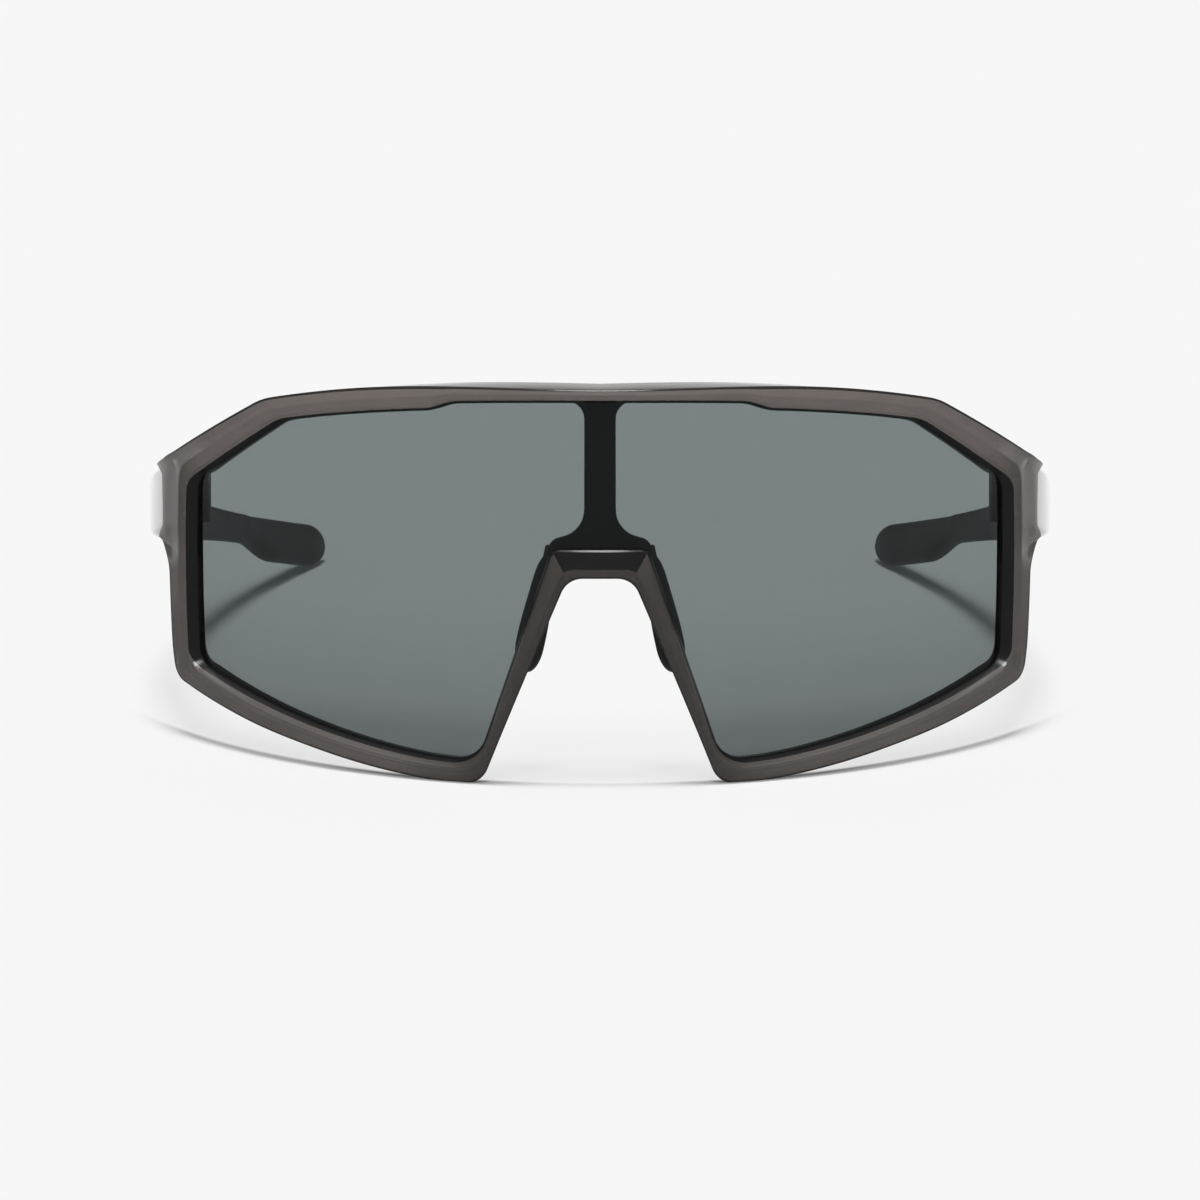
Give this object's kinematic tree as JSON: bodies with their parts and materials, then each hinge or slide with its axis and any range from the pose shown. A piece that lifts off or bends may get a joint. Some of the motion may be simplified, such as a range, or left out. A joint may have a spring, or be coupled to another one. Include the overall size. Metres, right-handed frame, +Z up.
{
  "type": "wraparound sport sunglasses",
  "caption": "Wraparound sport sunglasses: a curved shield lens in a full smoke plastic rim, a nose bridge with soft pads, and folding temples with rubber tips on screwed leaf hinges.",
  "frame": {"origin": "bottom centre of the bounding box, on the level surface that the glasses stand on", "axes": "+Z up, -Y the way the lens faces, +X towards the wearer's left; rest pose as pictured, temples open"},
  "size_m": [0.1496, 0.1572, 0.0629],
  "materials": {
    "frame_plastic": "glossy translucent smoke moulding",
    "arm_plastic": "glossy smoke moulding",
    "lens": "polished grey-green tint",
    "black_plastic": "satin black moulding",
    "silicone": "soft matt",
    "tip_rubber": "soft matt",
    "steel": "plain"
  },
  "bodies": {
    "front": {"front_frame": "frame_plastic", "shield_lens": "lens", "nose_bridge": "black_plastic", "left_nose_pad": "silicone", "right_nose_pad": "silicone", "left_front_hinge_leaf": "steel", "right_front_hinge_leaf": "steel", "left_front_leaf_screw_1": "steel", "left_front_leaf_screw_2": "steel", "right_front_leaf_screw_1": "steel", "right_front_leaf_screw_2": "steel", "left_hinge_screw": "steel", "right_hinge_screw": "steel"},
    "left_temple": {"left_temple_arm": "arm_plastic", "left_temple_tip": "tip_rubber", "left_temple_hinge_leaf": "steel", "left_temple_leaf_screw_1": "steel", "left_temple_leaf_screw_2": "steel"},
    "right_temple": {"right_temple_arm": "arm_plastic", "right_temple_tip": "tip_rubber", "right_temple_hinge_leaf": "steel", "right_temple_leaf_screw_1": "steel", "right_temple_leaf_screw_2": "steel"}
  },
  "joints": [
    {"name": "left_temple_fold", "type": "hinge", "parent": "front", "child": "left_temple", "pos_m": [0.06545, -0.03855, 0.03719], "axis": [0, 0.2742, 0.9617], "range_deg": [0, 77]},
    {"name": "right_temple_fold", "type": "hinge", "parent": "front", "child": "right_temple", "pos_m": [-0.06545, -0.03855, 0.03719], "axis": [0, -0.2742, -0.9617], "range_deg": [0, 86]}
  ]
}
